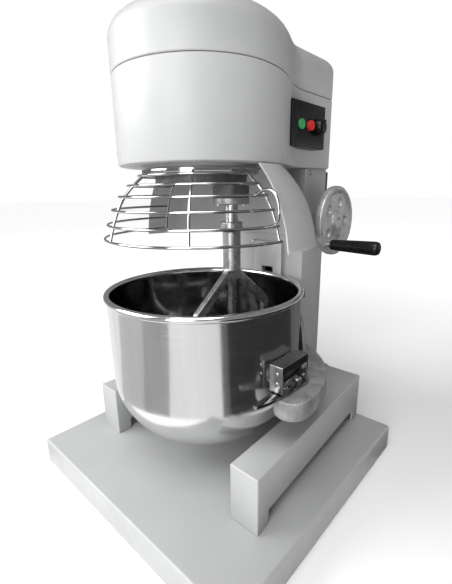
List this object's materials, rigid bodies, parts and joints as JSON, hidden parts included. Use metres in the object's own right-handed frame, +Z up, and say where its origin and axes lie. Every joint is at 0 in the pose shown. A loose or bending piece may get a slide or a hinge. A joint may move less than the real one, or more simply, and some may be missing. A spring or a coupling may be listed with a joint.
{
  "type": "planetary dough mixer",
  "caption": "Floor-standing planetary mixer with a steel bowl on a hand-cranked lifting yoke, flat beater, wire bowl guard and painted head on a column.",
  "frame": {"origin": "where the bowl's axis meets the floor, on the plinth's underside", "axes": "+Z up along the bowl's axis, +Y from the operator towards the column, +X towards the handwheel"},
  "size_m": [0.58, 0.591, 0.8863],
  "materials": {
    "paint": "light grey enamel, satin",
    "polished_steel": "polished stainless steel",
    "brushed": "brushed and machined steel",
    "bright_wire": "bright chromed wire",
    "casting": "satin aluminium casting",
    "grey_iron": "dark machined iron",
    "black_plastic": "black moulded plastic",
    "black_rubber": "black rubber",
    "green_plastic": "green moulded plastic",
    "red_plastic": "red moulded plastic"
  },
  "bodies": {
    "frame": {"floor_plinth": "paint", "base_frame": "paint", "column": "paint", "column_rear_cover": "paint", "slide_guide": "paint", "lift_screw_bearing": "grey_iron", "head_housing": "paint", "head_cover": "paint", "ring_gear": "grey_iron", "motor": "grey_iron", "drive_belt": "black_rubber", "rear_shield": "paint", "control_box": "black_plastic", "terminal_box": "black_plastic", "cable_gland": "black_plastic", "side_screw": "brushed", "slide_stop_screw": "brushed"},
    "carriage": {"yoke": "casting", "lift_nut": "grey_iron", "bowl": "polished_steel", "bowl_ear_right": "polished_steel", "bowl_ear_left": "polished_steel", "rim_lug_right": "polished_steel", "rim_lug_left": "polished_steel", "lever_pivot_screw_right": "brushed", "lever_pivot_screw_left": "brushed"},
    "lever_right": {"clamp_lever_right": "brushed", "lever_stop_screw_right": "brushed"},
    "lever_left": {"clamp_lever_left": "brushed", "lever_stop_screw_left": "brushed"},
    "wheel": {"handwheel": "casting", "handwheel_shaft": "brushed", "shaft_bevel_gear": "grey_iron", "grip_spindle": "brushed"},
    "grip": {"crank_grip": "black_plastic"},
    "screw": {"lift_screw": "brushed", "screw_bevel_gear": "grey_iron"},
    "planetary": {"planetary_carrier": "grey_iron", "agitator_bearing_cap": "casting", "drive_spindle": "brushed", "driven_pulley": "casting"},
    "agitator": {"agitator_shaft": "brushed", "planet_pinion": "grey_iron", "drive_pin": "brushed", "flat_beater": "casting"},
    "motor_rotor": {"motor_pulley": "casting"},
    "guard": {"wire_guard": "bright_wire", "guard_handle": "bright_wire"},
    "start_button_body": {"start_button": "green_plastic"},
    "stop_button_body": {"stop_button": "red_plastic"},
    "knob": {"speed_knob": "black_plastic"}
  },
  "joints": [
    {"name": "bowl_lift", "type": "slide", "parent": "frame", "child": "carriage", "axis": [0, 0, 1], "range_m": [0, 0.096]},
    {"name": "handwheel_turn", "type": "hinge", "parent": "frame", "child": "wheel", "pos_m": [0.145, 0.262, 0.544], "axis": [1, 0, 0], "range_deg": [-2161, 1]},
    {"name": "grip_spin", "type": "hinge", "parent": "wheel", "child": "grip", "pos_m": [0.2, 0.228, 0.496], "axis": [1, 0, 0], "continuous": true},
    {"name": "lift_screw_turn", "type": "hinge", "parent": "frame", "child": "screw", "pos_m": [0, 0.262, 0.3], "axis": [0, 0, 1], "range_deg": [-2161, 1]},
    {"name": "clamp_right_swing", "type": "hinge", "parent": "carriage", "child": "lever_right", "pos_m": [0.2095, 0.025, 0.2747], "axis": [0, 0, 1], "range_deg": [0, 35]},
    {"name": "clamp_left_swing", "type": "hinge", "parent": "carriage", "child": "lever_left", "pos_m": [-0.2095, 0.025, 0.2747], "axis": [0, 0, 1], "range_deg": [-35, 0]},
    {"name": "planetary_spin", "type": "hinge", "parent": "frame", "child": "planetary", "pos_m": [0, 0, 0.64], "axis": [0, 0, 1], "continuous": true},
    {"name": "agitator_spin", "type": "hinge", "parent": "planetary", "child": "agitator", "pos_m": [0.03907, 0.04046, 0.6], "axis": [0, 0, 1], "continuous": true},
    {"name": "motor_spin", "type": "hinge", "parent": "frame", "child": "motor_rotor", "pos_m": [0, 0.205, 0.755], "axis": [0, 0, 1], "continuous": true},
    {"name": "guard_swing", "type": "hinge", "parent": "frame", "child": "guard", "pos_m": [0, 0, 0.645], "axis": [0, 0, 1], "range_deg": [-110, 0]},
    {"name": "start_press", "type": "slide", "parent": "frame", "child": "start_button_body", "axis": [-1, 0, 0], "range_m": [0, 0.003], "stiffness_N_per_m": 400},
    {"name": "stop_press", "type": "slide", "parent": "frame", "child": "stop_button_body", "axis": [-1, 0, 0], "range_m": [0, 0.003], "stiffness_N_per_m": 400},
    {"name": "speed_turn", "type": "hinge", "parent": "frame", "child": "knob", "pos_m": [0.13, 0.2, 0.73], "axis": [1, 0, 0], "range_deg": [-135, 135]}
  ],
  "couplings": [
    {"joint": "handwheel_turn", "follows": "bowl_lift", "rad_per_m": -392.7},
    {"joint": "lift_screw_turn", "follows": "bowl_lift", "rad_per_m": -392.7},
    {"joint": "agitator_spin", "follows": "planetary_spin", "ratio": -4},
    {"joint": "motor_spin", "follows": "planetary_spin", "ratio": 2.8333}
  ]
}
